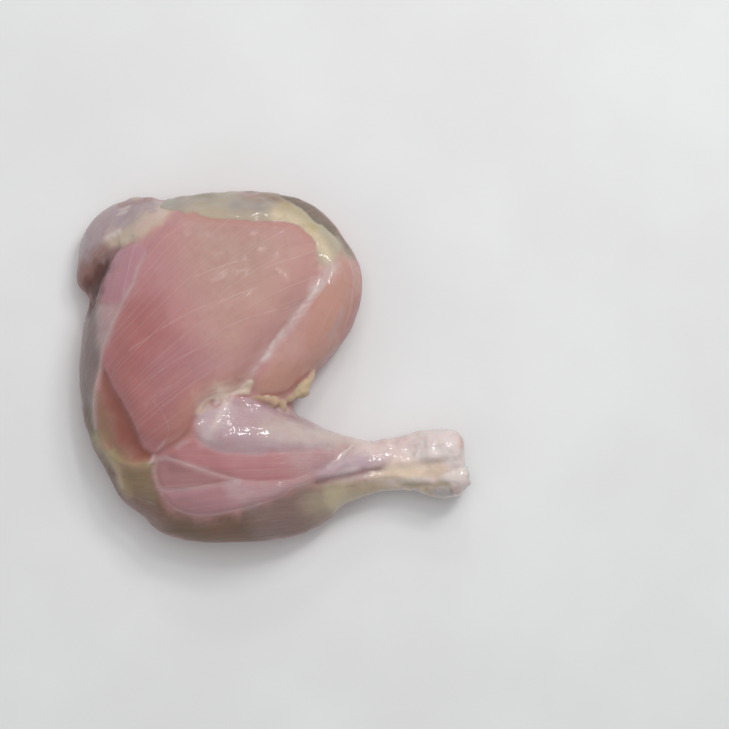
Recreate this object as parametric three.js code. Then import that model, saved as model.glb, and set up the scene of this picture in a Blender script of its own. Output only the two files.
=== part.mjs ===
// A raw skinless chicken leg quarter: thigh and drumstick in one piece, folded at the knee and lying
// on its inner side, with the strip of back meat that stays on the thigh folded down at the hip.
// Millimetres. X runs along the drumstick from the knee to the hock, Y from the drumstick to the
// hip, Z up. The origin is under the middle of the piece, on the surface that it lies on.
import * as THREE from "three";

// Driving sizes
const THIGH_WIDTH = 105;
const THIGH_LENGTH = 124;
const THIGH_HEIGHT = 35;
const DRUM_LENGTH = 117;
const DRUM_WIDTH = 52;
const DRUM_HEIGHT = 34;
const FACET = 2.9; // side of the squares that the surface is made of
const MARGIN = 9; // room around the piece where its surface is looked for

// Where the thigh's middle and the knee lie before the piece is centred
const THIGH_MIDDLE = new THREE.Vector2(-19, 4);
const KNEE = new THREE.Vector2(-43, -41);

// The thigh from above, from the left of the hip round by the knee and the fold to the hip again,
// in shares of its width and length
const THIGH_OUTLINE = [
  [-0.45, 0.22],
  [-0.482, 0.12],
  [-0.503, 0.0],
  [-0.488, -0.17],
  [-0.433, -0.31],
  [-0.31, -0.417],
  [-0.08, -0.34],
  [0.12, -0.22],
  [0.26, -0.125],
  [0.36, -0.025],
  [0.445, 0.06],
  [0.483, 0.13],
  [0.498, 0.24],
  [0.447, 0.337],
  [0.353, 0.443],
  [0.22, 0.49],
  [0.02, 0.495],
  [-0.14, 0.48],
  [-0.3, 0.42],
  [-0.39, 0.31],
];
const THIGH = {
  edge: 42, // how far in from the outline the surface keeps rising
  girth: 12, // height of the widest level
  squareness: 2.2,
};

// The drumstick's sections: share of its length, offset across in mm, half width and half height
// as shares of its width and height, and how far the section's underside is above the rest level
const DRUM_SECTIONS = [
  [0.0, 0.2, 0.285, 0.37, -1],
  [0.06, -1.8, 0.4, 0.42, -1],
  [0.13, -1, 0.46, 0.46, -1],
  [0.24, 1.4, 0.495, 0.5, -1],
  [0.33, 1.6, 0.5, 0.49, -1],
  [0.43, 0.9, 0.45, 0.45, -1],
  [0.52, 1.8, 0.36, 0.39, -0.5],
  [0.58, 3, 0.262, 0.345, 0.2],
  [0.64, 3.2, 0.222, 0.3, 1],
  [0.71, 4.4, 0.19, 0.25, 2.2],
  [0.775, 5, 0.197, 0.25, 2.2],
  [0.84, 5.5, 0.222, 0.265, 1.4],
  [0.9, 5.2, 0.25, 0.3, -0.6],
  [0.955, 5, 0.245, 0.305, -0.8],
  [1.03, 4.8, 0.225, 0.28, 0],
];
const HOCK_CUT = {
  at: new THREE.Vector2(73, -34.5),
  turn: 0.24,
  rounding: 1.2,
  middle: 1.8, // how far the joint's middle is beside that place
  rimHalf: 9.3, // how far beside its middle the joint has drawn back by 1
  rimEnd: 15, // from here on it draws back no further
  groove: 1.8, // depth of the groove between the two knuckles
  grooveHalf: 4,
};

// Pieces that stand beside the two main forms. A section is
// [x, y, height of its middle, half width, half height].
const BACK_MEAT = {
  seam: 1.6,
  sections: [
    [-38, 54.8, 13, 6.5, 11],
    [-50, 55.4, 11.5, 8.4, 10.5],
    [-60.6, 48.2, 9.5, 10, 9],
    [-66.8, 34.6, 7.5, 7.4, 7.5],
  ],
};
const KNUCKLES = [
  { seam: 2, sections: [[60, -31, 13, 7.4, 9.2], [71, -31, 13, 7.6, 9.2]] },
  { seam: 2, sections: [[63.5, -42, 10, 6.4, 9.8], [72, -42, 10, 6.8, 9.8]] },
];
const BACK_OF_THIGH = {
  seam: 3,
  sections: [
    [18, 46, 13, 7, 10.5],
    [22.8, 36, 15, 8.8, 12.2],
    [22, 23, 15.5, 9.2, 13.6],
    [16.6, 11.4, 15.5, 8.4, 13.8],
    [7.5, 1.4, 15.5, 7.8, 13],
    [0, -6, 16, 6.5, 11.5],
  ],
};
const FOLD_FAT = {
  seam: 2.4,
  sections: [
    [-3.4, -13.2, 14, 5.6, 11],
    [3, -9, 15, 5.6, 10],
    [9.8, -3, 16, 5.8, 9],
  ],
};

// Raised muscles and sunken seams on the upper side. A point is [x, y, half width].
const SWELLS = [
  // whole thigh, front of the thigh, fat at the hip
  { height: 4.5, path: [[-40, 34, 32], [-33, 14, 36], [-36, -8, 32]] },
  { height: 1.7, path: [[-52, 42, 8], [-57, 28, 9], [-60, 17, 7]] },
  { height: 1.5, path: [[-46, 50, 7], [-28, 55, 8], [-6, 56, 8], [8, 53, 8]] },
  // calf, outer shin, front of the shin
  { height: 2.8, path: [[-16, -25, 9], [-8, -23.8, 11], [4, -24.8, 10], [18, -27.6, 7]] },
  { height: 1.2, path: [[-32, -36.5, 5.5], [-12, -36.6, 7.5], [8, -36.2, 7.5], [26, -33.5, 5]] },
  { height: 1.2, path: [[-37, -45, 7], [-21, -49, 9], [-4, -47, 9], [14, -42, 7]] },
];
const SEAMS = [
  // between the thigh and its back, then inside the hip
  {
    height: -2.4,
    path: [[18, 36, 5], [14, 27, 6.5], [7, 16, 7.5], [-1, 5.5, 7], [-7, -3, 6], [-12, -9.5, 5]],
  },
  { height: -3, path: [[2, 62, 6], [15, 58, 7], [24, 50, 7], [30, 40, 6]] },
  // hollow of the knee, above the calf, below the calf
  { height: -3, path: [[-23, -17, 7], [-18, -12.5, 8], [-9, -11, 6]] },
  { height: -1.4, path: [[-29, -30, 5], [-27, -21, 5.5], [-21, -14, 5]] },
  { height: -1.1, path: [[-27, -31.5, 4.5], [-10, -32.4, 5], [10, -31.8, 4.5], [27, -30.6, 4]] },
  // between the two muscles of the shin
  {
    height: -0.8,
    path: [[-40, -37, 4], [-24, -40.5, 4.5], [-6, -42.4, 4.5], [12, -40, 4], [24, -36, 4]],
  },
  // above the knee
  { height: -2.3, path: [[-60.5, -4, 6], [-57, -14, 8], [-52, -23, 8.5], [-46.5, -31.5, 7]] },
];

// Hollows under the piece, between what rests and what doesn't: the fold, then the back meat
const HOLLOWS = [
  { height: 4.2, path: [[14, -8, 8], [-6, -20, 9], [-28, -27, 9], [-50, -25, 8]] },
  { height: 2.4, path: [[-44, 52, 6], [-56, 38, 8], [-64, 22, 7]] },
];

// Long low waves, so that no part of the piece is even: height, run along X and Y, phase
const WAVES = [
  [0.5, 11, 17, 0.6],
  [0.4, 7.3, -9.1, 2.1],
];

function smoothMin(a, b, radius) {
  const near = Math.max(radius - Math.abs(a - b), 0) / radius;
  return Math.min(a, b) - (near * near * radius) / 4;
}

const smoothMax = (a, b, radius) => -smoothMin(-a, -b, radius);

const clamp = (value) => Math.min(Math.max(value, 0), 1);

// The nearest place on a chain of points, seen from above: how far off it is, and its share of
// the chain
function nearest(points, x, y) {
  const last = points.length - 1;
  let distance = Infinity;
  let share = 0;
  for (let i = 0; i < last; i++) {
    const a = points[i];
    const abx = points[i + 1].x - a.x;
    const aby = points[i + 1].y - a.y;
    const t = clamp(((x - a.x) * abx + (y - a.y) * aby) / (abx * abx + aby * aby));
    const away = Math.hypot(x - a.x - abx * t, y - a.y - aby * t);
    if (away < distance) {
      distance = away;
      share = (i + t) / last;
    }
  }
  return { distance, share };
}

// Every form below is a function of a place seen from above that gives a function of the height,
// which is negative inside the form and about the distance to its surface.

// A form with oval sections along a smooth line
function limb(sections, steps = 30) {
  const line = new THREE.CatmullRomCurve3(sections.map((s) => new THREE.Vector3(s[0], s[1], s[2])));
  const girth = new THREE.CatmullRomCurve3(sections.map((s) => new THREE.Vector3(s[3], s[4], 0)));
  const centres = [...Array(steps + 1)].map((_, i) => line.getPoint(i / steps));
  return (x, y) => {
    const { distance, share } = nearest(centres, x, y);
    const half = girth.getPoint(share);
    const middle = line.getPoint(share).z;
    const scale = Math.min(half.x, half.y);
    return (z) => (Math.hypot(distance / half.x, (z - middle) / half.y) - 1) * scale;
  };
}

// A domed form inside an outline, widest at its girth
function thighForm() {
  const corners = THIGH_OUTLINE.map(
    ([u, v]) =>
      new THREE.Vector3(THIGH_MIDDLE.x + u * THIGH_WIDTH, THIGH_MIDDLE.y + v * THIGH_LENGTH, 0),
  );
  const outline = new THREE.CatmullRomCurve3(corners, true).getPoints(90);
  const contains = (x, y) => {
    let odd = false;
    for (let i = 0; i + 1 < outline.length; i++) {
      const a = outline[i];
      const b = outline[i + 1];
      if (a.y > y !== b.y > y && x < a.x + ((y - a.y) * (b.x - a.x)) / (b.y - a.y)) odd = !odd;
    }
    return odd;
  };
  const rise = THIGH_HEIGHT - THIGH.girth;
  const power = THIGH.squareness;
  return (x, y) => {
    const off = nearest(outline, x, y).distance * (contains(x, y) ? -1 : 1);
    const across = Math.max(1 + off / THIGH.edge, 0) ** power;
    return (z) => {
      const up = (Math.abs(z - THIGH.girth) / rise) ** power;
      return ((across + up) ** (1 / power) - 1) * rise;
    };
  };
}

function drumForm() {
  return limb(
    DRUM_SECTIONS.map(([along, aside, wide, high, under]) => [
      KNEE.x + along * DRUM_LENGTH,
      KNEE.y + aside,
      high * DRUM_HEIGHT + under,
      wide * DRUM_WIDTH,
      high * DRUM_HEIGHT,
    ]),
    48,
  );
}

// The relief's height above the plain surface at a place seen from above
function relief(bands) {
  const made = bands.map(({ height, path }) => {
    const curve = new THREE.CatmullRomCurve3(path.map((p) => new THREE.Vector3(...p)));
    return { height, curve, points: curve.getPoints(24) };
  });
  return (x, y) =>
    made.reduce((sum, { height, curve, points }) => {
      const { distance, share } = nearest(points, x, y);
      const off = distance / curve.getPoint(share).z;
      return sum + height * Math.max(1 - off * off, 0) ** 2;
    }, 0);
}

const swells = relief(SWELLS);
const seams = relief(SEAMS);
const hollows = relief(HOLLOWS);
const waves = (x, y) =>
  WAVES.reduce(
    (sum, [height, runX, runY, phase]) => sum + height * Math.sin(x / runX + y / runY + phase),
    0,
  );

// How far a place seen from above is beyond the end of the joint, which has a groove in its middle
function hockCut(x, y) {
  const { at, turn, middle, rimHalf, rimEnd, groove, grooveHalf } = HOCK_CUT;
  const along = (x - at.x) * Math.cos(turn) + (y - at.y) * Math.sin(turn);
  const aside = (y - at.y) * Math.cos(turn) - (x - at.x) * Math.sin(turn);
  const bent = (Math.min(Math.abs(aside - middle), rimEnd) / rimHalf) ** 4;
  const inGroove = Math.max(1 - (aside / grooveHalf) ** 2, 0);
  return along + bent + groove * inGroove ** 2;
}

// All the forms as one: joined with soft seams, carved from above, cut at the hock and laid flat
function legForm() {
  const thigh = thighForm();
  const drum = drumForm();
  const added = [BACK_MEAT, BACK_OF_THIGH, FOLD_FAT, ...KNUCKLES].map(({ seam, sections }) => ({
    seam,
    form: limb(sections),
  }));
  const foldRadius = 4;
  const carvedFrom = 10; // height where the relief starts to show
  const floorRounding = 1.2;
  return (x, y) => {
    const [thighAt, drumAt] = [thigh(x, y), drum(x, y)];
    const addedAt = added.map(({ seam, form }) => ({ seam, at: form(x, y) }));
    const raised = swells(x, y) + seams(x, y) + waves(x, y);
    const hollow = hollows(x, y);
    const beyondCut = hockCut(x, y);
    return (z) => {
      const carved = z - raised * clamp((z - carvedFrom) / carvedFrom);
      let form = smoothMin(thighAt(carved), drumAt(carved), foldRadius);
      for (const { seam, at } of addedAt) form = smoothMin(form, at(z), seam);
      form = smoothMax(form, beyondCut, HOCK_CUT.rounding);
      return smoothMax(form, hollow - z, floorRounding);
    };
  };
}

// The surface where a form is zero, as squares of one vertex in each cell that it crosses
function surfaceOf(form, low, high, cell) {
  const [nx, ny, nz] = high.clone().sub(low).divideScalar(cell).ceil().addScalar(1).toArray();
  const index = (i, j, k) => (k * ny + j) * nx + i;
  const values = new Float32Array(nx * ny * nz);
  for (let j = 0; j < ny; j++)
    for (let i = 0; i < nx; i++) {
      const column = form(low.x + i * cell, low.y + j * cell);
      for (let k = 0; k < nz; k++) values[index(i, j, k)] = column(low.z + k * cell);
    }

  const corners = [...Array(8)].map((_, c) => [c & 1, (c >> 1) & 1, (c >> 2) & 1]);
  const edges = corners.flatMap((_, c) =>
    [1, 2, 4].filter((bit) => !(c & bit)).map((bit) => [c, c | bit]),
  );
  const vertexOf = new Int32Array(nx * ny * nz);
  const positions = [];
  for (let k = 0; k + 1 < nz; k++)
    for (let j = 0; j + 1 < ny; j++)
      for (let i = 0; i + 1 < nx; i++) {
        const value = corners.map(([a, b, c]) => values[index(i + a, j + b, k + c)]);
        const sum = [0, 0, 0];
        let crossings = 0;
        for (const [p, q] of edges) {
          if (value[p] < 0 === value[q] < 0) continue;
          const t = value[p] / (value[p] - value[q]);
          for (let axis = 0; axis < 3; axis++)
            sum[axis] += corners[p][axis] + (corners[q][axis] - corners[p][axis]) * t;
          crossings++;
        }
        if (!crossings) continue;
        vertexOf[index(i, j, k)] = positions.length / 3;
        [i, j, k].forEach((n, axis) =>
          positions.push(low.getComponent(axis) + (n + sum[axis] / crossings) * cell),
        );
      }

  // Four cells ring each grid edge that the surface crosses, and their vertices make a square
  const steps = [[1, 0, 0], [0, 1, 0], [0, 0, 1]];
  const ring = [[0, 0], [1, 0], [1, 1], [0, 1]];
  const triangles = [];
  for (let k = 1; k + 1 < nz; k++)
    for (let j = 1; j + 1 < ny; j++)
      for (let i = 1; i + 1 < nx; i++)
        steps.forEach(([di, dj, dk], axis) => {
          const inside = values[index(i, j, k)] < 0;
          if (inside === values[index(i + di, j + dj, k + dk)] < 0) return;
          const u = steps[(axis + 1) % 3];
          const v = steps[(axis + 2) % 3];
          const square = ring.map(
            ([a, b]) =>
              vertexOf[
                index(i - a * u[0] - b * v[0], j - a * u[1] - b * v[1], k - a * u[2] - b * v[2])
              ],
          );
          if (!inside) square.reverse();
          const [p, q, r, s] = square;
          triangles.push(p, q, r, p, r, s);
        });
  const geometry = new THREE.BufferGeometry();
  geometry.setAttribute("position", new THREE.Float32BufferAttribute(positions, 3));
  geometry.setIndex(triangles);
  return geometry;
}

function legQuarter() {
  const low = new THREE.Vector3(
    THIGH_MIDDLE.x - THIGH_WIDTH / 2 - MARGIN,
    KNEE.y - DRUM_WIDTH / 2 - MARGIN,
    -1.5 * FACET,
  );
  const high = new THREE.Vector3(
    KNEE.x + DRUM_LENGTH + MARGIN,
    THIGH_MIDDLE.y + THIGH_LENGTH / 2 + MARGIN,
    THIGH_HEIGHT + MARGIN,
  );
  const geometry = surfaceOf(legForm(), low, high, FACET);
  geometry.computeBoundingBox();
  const middle = geometry.boundingBox.getCenter(new THREE.Vector3());
  geometry.translate(-middle.x, -middle.y, -geometry.boundingBox.min.z);
  geometry.computeVertexNormals();
  const meat = new THREE.MeshStandardMaterial({ color: 0xbd9288, roughness: 0.35, metalness: 0 });
  const mesh = new THREE.Mesh(geometry, meat);
  mesh.name = "leg_quarter";
  return mesh;
}

const group = new THREE.Group();
group.add(legQuarter());
export default group;
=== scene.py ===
"""The looks of a raw skinless chicken leg quarter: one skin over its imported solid.

The leg lies on its inner side and is seen from above, so every form on its upper side is named
by the pixels of the photograph that it covers. Relief and tissue are worked out for each vertex,
in millimetres, and the material adds the grain, the pale threads and the wet gloss.
"""

import math
from typing import NamedTuple

import bmesh
import bpy
import numpy as np
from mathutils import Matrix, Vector
from mathutils.bvhtree import BVHTree


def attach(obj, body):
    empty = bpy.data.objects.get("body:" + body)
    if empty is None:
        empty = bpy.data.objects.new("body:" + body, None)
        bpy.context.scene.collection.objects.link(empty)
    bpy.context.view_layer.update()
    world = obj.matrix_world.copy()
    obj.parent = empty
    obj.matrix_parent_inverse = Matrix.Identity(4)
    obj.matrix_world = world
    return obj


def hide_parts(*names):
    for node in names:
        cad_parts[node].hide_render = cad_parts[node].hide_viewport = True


PHOTO_WIDTH = 729
MM_PER_PIXEL = 0.37
ORIGIN_PIXEL = (271.1, 365.7)  # the pixel over the frame's origin
MM = 0.001

# In millimetres
VOXEL = 0.69  # side of the skin's squares
FLOOR_LIFT = 0.02
FAR = 99.0  # stands for a distance that is too long to matter
LIMIT = 9.0  # distances to lumps, threads and the grain's borders are counted up to this
ABOVE = 80  # a height that is clear of the leg
FAT_REACH = 18.0  # how far the strokes of fat are felt
SIDE_RADIUS = 24  # of the roundness of the sides
LOW_SIDE = (22, 9)  # heights between which a side takes on the look of the underside
HOCK_END = (71.0, 72.5)  # along the shank, where the joint's face begins and is full
FAT_FADE = (2, 9)  # distances from the end of the bare fat over which it comes in
THREAD_HALF = 0.4  # half the width of a thread of full strength
FLOOR_HALF = 1500

SIDE_TURN = 0.7  # the skin's slope, in radians, at which its sides begin
LUMP_REACH = 1.12  # how far out a lump's fat goes, in the lump's half sizes


class Tissue(NamedTuple):
    """Colour as the photograph shows it, and how far it is wet, grained and veiled, 0 to 1."""

    colour: tuple
    wet: float = 0.12
    fibre: float = 1.0
    veil: float = 0.0


class Fat(NamedTuple):
    """Colour as the photograph shows it, and how thick the layer is, 0 to 1."""

    colour: tuple
    thick: float


# Muscle
MUSCLE = Tissue((187, 138, 139))
MUSCLE_PALE = Tissue((190, 152, 141))
MUSCLE_TAN = Tissue((173, 143, 132), 0.05)
MUSCLE_RED = Tissue((168, 105, 103))
MUSCLE_SHIN = Tissue((172, 118, 121))
MUSCLE_ROSE = Tissue((160, 116, 117), 0.2)
MUSCLE_LILAC = Tissue((168, 126, 132), 0.25)
MUSCLE_STRAP = Tissue((179, 133, 143), 0.25)
MUSCLE_BROWN = Tissue((147, 89, 77), 0.2, 0.1)
MUSCLE_BACK = Tissue((189, 147, 137), 0.3, 0.35, 0.05)
# muscle of the lobe's lower end, partly painted shade
MUSCLE_LOBE_SHADE = Tissue((185, 139, 122), 0.25, 0.3)
ORANGE = Tissue((185, 136, 116), 0.25, 0.5)
ORANGE_PALE = Tissue((198, 145, 130), 0.3, 0.3)
# blood red, also laid as a painted shadow under the knee's flap
BLOOD_AND_SHADOW = Tissue((152, 82, 74), 0.6, 0.0)
# Membranes and tendons
SINEW = Tissue((184, 160, 165), 0.8, 0.15, 0.12)
SINEW_CREAM = Tissue((200, 186, 175), 0.8, 0.1, 0.1)
SINEW_PINK = Tissue((173, 143, 148), 0.75, 0.2)
MEMBRANE = Tissue((178, 152, 152), 0.5, 0.2, 0.2)
MEMBRANE_PINK = Tissue((190, 162, 158), 0.65, 0.2, 0.1)
# grey membrane, darkened as painted shade for the lower and left edges
MEMBRANE_SHADED = Tissue((128, 110, 106), 0.35, 0.15, 0.1)
# grey band at the left edge, darkened as painted shade
MEMBRANE_BAND_SHADED = Tissue((116, 106, 103), 0.3, 0.1, 0.12)
# olive membrane, its olive partly a painted greenish reflection
MEMBRANE_OLIVE = Tissue((160, 145, 104), 0.45, 0.1, 0.08)
TENDON = Tissue((222, 203, 198), 0.9, 0.1, 0.25)
# white tendon, also laid as a painted highlight on the hock
TENDON_WHITE_AND_SHEEN = Tissue((224, 216, 212), 0.95, 0.05, 0.3)
TENDON_WARM = Tissue((222, 199, 169), 0.8, 0.1, 0.1)
TENDON_LILAC = Tissue((178, 154, 164), 0.75, 0.2, 0.12)
TENDON_OLIVE = Tissue((186, 171, 141), 0.6, 0.1, 0.05)
CARTILAGE = Tissue((204, 200, 196), 0.9, 0.0, 0.1)
CARTILAGE_BLUE = Tissue((178, 173, 174), 0.95, 0.0, 0.05)
TORN = Tissue((220, 210, 202), 0.8, 0.0, 0.5)
LACE = Tissue((196, 168, 162), 0.45, 0.1, 0.8)
# painted shade for creases
CREASE_SHADE = Tissue((128, 96, 96), 0.3, 0.0)
# Painted shade for the sides and folds, tinted olive by a painted greenish reflection; then the
# strip of back meat
SHADED = Tissue((102, 84, 60), 0.25, 0.2, 0.04)
SHADED_OLIVE = Tissue((131, 119, 82), 0.35, 0.1, 0.06)
BACK_GREY = Tissue((166, 152, 156), 0.6, 0.15, 0.15)
BACK_BROWN = Tissue((140, 106, 99), 0.35, 0.2, 0.05)
DEEP_SHADE = Tissue((80, 52, 45), 0.0, 0.1)
# Fat under a membrane, and the pale fat at the pit of the knee
FAT_SOFT = Tissue((200, 182, 158), 0.55, 0.1, 0.1)
FAT_ROSE = Tissue((202, 174, 164), 0.55, 0.1, 0.15)
# fat darkened as painted shade, where the back of the thigh turns down
FAT_SHADED = Tissue((98, 94, 74), 0.3, 0.1, 0.1)
FAT_RIM = Tissue((240, 221, 202), 0.7, 0.0, 0.1)
FAT_LEAF = Tissue((221, 205, 176), 0.6, 0.0, 0.1)

# Fat that lies bare
LUMP = Fat((201, 180, 146), 1.0)
LUMP_ROSE = Fat((170, 136, 113), 0.9)
FAT_BARE = Fat((166, 160, 138), 0.15)
FAT_CREAM = Fat((214, 197, 168), 0.85)
FAT_PALE = Fat((180, 167, 144), 0.2)
FAT_BLUE = Fat((150, 148, 142), 0.1)
# painted shade for the top edge of the bare fat
FAT_RIM_SHADE = Fat((128, 123, 106), 0.1)
FAT_OLIVE = Fat((174, 156, 104), 0.5)
FAT_PINK = Fat((156, 118, 116), 0.1)
FAT_BROWN = Fat((122, 102, 84), 0.15)

VEIL = (222, 208, 204)
THREAD = (206, 184, 178)
GLOBULE_SHADOW = (176, 150, 122)
FLOOR_DARK = (0.74, 0.74, 0.73, 1)
FLOOR_PALE = (0.78, 0.78, 0.775, 1)
SKY = (0.95, 0.97, 1.0, 1)
SKY_STRENGTH = 0.35

# What is the same all over the meat
MEAT_SHADER = {
    "Coat Roughness": 0.07,
    "Subsurface Weight": 0.3,
    "Subsurface Radius": (1.0, 0.45, 0.3),
    "Subsurface Scale": 2.0 * MM,
    "IOR": 1.4,
}

# Round lights: (name, place in metres, width, power, whether the wet surface mirrors it)
LIGHTS = [
    ("key", (0.42, 0.5, 0.75), 0.25, 2.3, False),
    ("soft", (0.1, 0.2, 1.1), 0.9, 3.8, False),
    ("fill", (-0.6, -0.3, 0.6), 0.7, 0.7, False),
    ("glint", (0.3, 0.42, 0.95), 0.13, 1.1, True),
    ("back_glint", (0.05, 1.3, 0.9), 0.16, 1.5, True),
    ("high_glint", (0.25, 0.85, 1.0), 0.12, 0.9, True),
]
LIGHTS_AIM = (0, 0, 0.02)

# Outlines of the muscles and membranes, in pixels
STRAP = [
    (149, 254), (141, 272), (136, 288), (126, 304), (118, 308), (108, 307), (98, 301), (99, 288),
    (102, 275), (107, 262), (115, 252), (127, 246), (139, 246)]
FACE = [
    (149, 252), (160, 238), (172, 228), (183, 220), (215, 223), (260, 226), (300, 230), (309, 238),
    (315, 250), (318, 266), (316, 288), (302, 305), (285, 327), (272, 345), (264, 360), (254, 376),
    (243, 389), (226, 395), (211, 399), (202, 407), (197, 422), (186, 438), (172, 448), (158, 456),
    (150, 452), (143, 445), (137, 427), (130, 413), (121, 399), (113, 386), (106, 374), (104, 362),
    (106, 345), (112, 328), (119, 316), (126, 304), (136, 288), (141, 272)]
LOBE = [
    (326, 272), (336, 264), (346, 258), (356, 270), (361, 290), (356, 318), (344, 343), (326, 362),
    (306, 380), (293, 394), (275, 398), (257, 396), (258, 384), (271, 364), (286, 344), (302, 323),
    (318, 300)]
RECESS = [
    (106, 372), (113, 386), (122, 399), (131, 414), (138, 428), (142, 441), (147, 449), (156, 456),
    (150, 462), (136, 464), (118, 459), (106, 444), (99, 425), (98, 405), (101, 385)]
LEFT_BAND = [
    (92, 300), (98, 304), (102, 320), (104, 340), (103, 362), (100, 385), (97, 405), (98, 425),
    (105, 445), (116, 460), (104, 470), (86, 445), (70, 400), (64, 350), (74, 310)]
CALF = [
    (196, 430), (198, 420), (205, 409), (213, 404), (225, 400), (240, 398), (255, 400), (272, 406),
    (290, 411), (310, 419), (333, 429), (357, 434), (352, 444), (335, 448), (318, 450), (300, 451),
    (280, 453), (255, 454), (235, 453), (222, 451), (208, 446), (199, 439)]
SHIN_UPPER = [
    (199, 441), (208, 447), (222, 452), (235, 454), (262, 455), (300, 452), (335, 449), (352, 447),
    (345, 455), (335, 462), (322, 468), (305, 475), (280, 480), (257, 481), (240, 479), (225, 475),
    (212, 471), (197, 466), (182, 461), (170, 456), (180, 448), (190, 441)]
SHIN_MIDDLE = [
    (160, 459), (168, 458), (182, 462), (197, 467), (212, 472), (225, 476), (240, 480), (225, 483),
    (210, 486), (190, 490), (170, 491), (162, 484), (158, 470)]
SHIN_LOWER = [
    (162, 485), (170, 492), (190, 491), (210, 487), (225, 484), (240, 481), (257, 483), (275, 482),
    (295, 481), (312, 474), (330, 467), (346, 462), (340, 472), (327, 480), (312, 483), (295, 488),
    (282, 496), (267, 502), (240, 509), (212, 515), (192, 514), (175, 507), (167, 495)]
UNDER_SHIN = [
    (157, 474), (167, 497), (175, 509), (192, 516), (212, 517), (240, 511), (267, 504), (295, 490),
    (312, 484), (340, 482), (372, 479), (400, 482), (400, 500), (340, 530), (280, 565), (200, 570),
    (120, 530), (95, 490), (104, 466), (130, 466), (150, 466)]
SHANK = [
    (338, 428), (357, 424), (380, 420), (430, 415), (470, 415), (495, 440), (495, 520), (440, 520),
    (400, 505), (372, 481), (345, 480), (330, 474), (345, 460), (354, 446)]
FLAP = [
    (66, 305), (55, 250), (85, 195), (150, 175), (172, 195), (165, 211), (143, 224), (122, 240),
    (106, 258), (100, 285), (92, 305)]

# Small outlines
KNEE_FLAP = [(249, 381), (254, 382), (252, 388), (250, 395), (241, 395), (240, 391), (243, 386)]
PIT = [(205, 408), (209, 402), (217, 400), (224, 402), (222, 407), (214, 408), (208, 412)]
TORN_END = [
    (439, 478), (446, 474), (456, 470), (465, 467), (469, 476), (470, 486), (462, 487), (452, 482),
    (444, 482)]
HOCK_BEAD = [(434, 489), (441, 486), (449, 488), (452, 494), (446, 497), (438, 496)]
GLINT_WEDGE = [(413, 457), (418, 450), (440, 450), (452, 453), (436, 459), (424, 460)]

# Lines that are used more than once, and the seam between the thigh and the drumstick
FASCIA = [
    (148, 258), (141, 272), (136, 288), (126, 304), (117, 322), (108, 344), (103, 366), (97, 390),
    (95, 410), (97, 428)]
SHANK_CORD = [(352, 446), (345, 453), (338, 460), (331, 464)]
FOLD = [
    (92, 480), (140, 462), (176, 448), (196, 425), (222, 398), (256, 398), (290, 402), (500, 380)]

# Raised muscles: (height, width of the slope, outline); a negative height is a hollow
PLATES = [
    (0.5, 1.6, FACE),
    (0.35, 1.4, STRAP),
    (0.35, 2.4, LOBE),
    (-0.6, 2.8, RECESS),
    (0.45, 3.4, CALF),
    (0.4, 1.6, SHIN_UPPER),
    (0.45, 1.6, SHIN_MIDDLE),
    (0.5, 1.8, SHIN_LOWER),
    (0.8, 0.8, KNEE_FLAP),
    (-0.5, 0.9, PIT),
    (0.4, 0.9, TORN_END),
    (0.5, 1.1, HOCK_BEAD),
    (0.25, 1.0, GLINT_WEDGE),
]

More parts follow.
